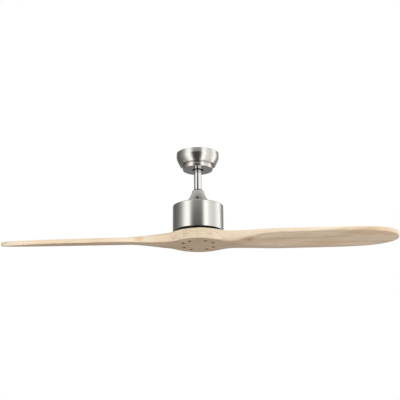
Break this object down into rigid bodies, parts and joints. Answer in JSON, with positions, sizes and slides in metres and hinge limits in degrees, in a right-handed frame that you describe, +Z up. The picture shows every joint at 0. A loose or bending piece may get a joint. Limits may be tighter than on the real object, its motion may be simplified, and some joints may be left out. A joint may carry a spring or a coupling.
{
  "type": "ceiling fan",
  "caption": "Two-blade solid-wood ceiling fan on a short downrod, with a nickel canopy, bell-shaped coupling cover and cylindrical motor housing.",
  "frame": {"origin": "on the ceiling plane at the fan's axis, which is the centre of the bracket's two ceiling slots and of its top face", "axes": "+Z up into the ceiling, +X along the blades at rest, the coupling cover's screw faces -Y"},
  "size_m": [1.32, 0.174, 0.3199],
  "materials": {
    "brushed_nickel": "fine circular brushing",
    "polished_nickel": "bright",
    "zinc_steel": "zinc plated",
    "screw_steel": "zinc plated",
    "bearing_steel": "ground",
    "dark_screw": "bronzed",
    "green_screw": "passivated green",
    "black_steel": "matt black paint",
    "cast_aluminium": "as cast",
    "laminated_iron": "varnished",
    "magnet_ferrite": "matt",
    "copper_wire": "enamelled",
    "brass": "turned",
    "white_nylon": "moulded",
    "black_plastic": "moulded",
    "circuit_board": "solder mask",
    "wire_insulation": "smooth",
    "black_rubber": "matt",
    "pale_wood": "clear satin lacquer"
  },
  "bodies": {
    "ceiling_mount": {"hanging_bracket": "zinc_steel", "canopy": "brushed_nickel", "canopy_screws": "screw_steel", "canopy_screw_cover": "brushed_nickel", "terminal_block": "white_nylon", "terminal_screws": "brass", "earth_screw": "green_screw", "supply_wires": "wire_insulation"},
    "socket_seat": {"socket_liner": "white_nylon"},
    "motor_hanger": {"hanger_ball": "black_plastic", "ball_pin": "screw_steel", "ball_set_screw": "screw_steel", "downrod": "polished_nickel", "rod_wires": "wire_insulation", "rubber_ring": "black_rubber", "coupling_cover": "brushed_nickel", "coupling_cover_screw": "dark_screw", "motor_yoke": "cast_aluminium", "clevis_pin": "screw_steel", "r_clip": "screw_steel", "yoke_set_screws": "screw_steel", "yoke_lock_nuts": "screw_steel", "motor_shaft": "zinc_steel", "shaft_pin": "screw_steel", "motor_housing": "brushed_nickel", "housing_screws": "screw_steel", "wire_grommet": "black_rubber", "board_standoffs": "brass", "driver_board": "circuit_board", "board_components": "black_plastic", "board_screws": "screw_steel", "stator_hub": "white_nylon", "stator_core": "laminated_iron", "stator_windings": "copper_wire", "motor_leads": "wire_insulation", "upper_bearing_inner": "bearing_steel", "lower_bearing_inner": "bearing_steel", "shaft_circlip": "screw_steel"},
    "propeller": {"rotor_upper_shell": "cast_aluminium", "rotor_lower_shell": "cast_aluminium", "rotor_screws": "screw_steel", "rotor_iron_ring": "laminated_iron", "rotor_magnets": "magnet_ferrite", "upper_bearing_outer": "bearing_steel", "lower_bearing_outer": "bearing_steel", "upper_bearing_balls": "bearing_steel", "lower_bearing_balls": "bearing_steel", "blade_plate": "black_steel", "plate_screws": "screw_steel", "blade_gasket": "black_rubber", "blade_a": "pale_wood", "blade_b": "pale_wood", "blade_screws": "dark_screw"}
  },
  "joints": [
    {"name": "swing_front_back", "type": "hinge", "parent": "ceiling_mount", "child": "socket_seat", "pos_m": [0, 0, -0.03046], "axis": [1, 0, 0], "range_deg": [-7, 7]},
    {"name": "swing_sideways", "type": "hinge", "parent": "socket_seat", "child": "motor_hanger", "pos_m": [0, 0, -0.03046], "axis": [0, 1, 0], "range_deg": [-7, 7]},
    {"name": "blade_spin", "type": "hinge", "parent": "motor_hanger", "child": "propeller", "pos_m": [0, 0, -0.3], "axis": [0, 0, 1], "continuous": true}
  ]
}
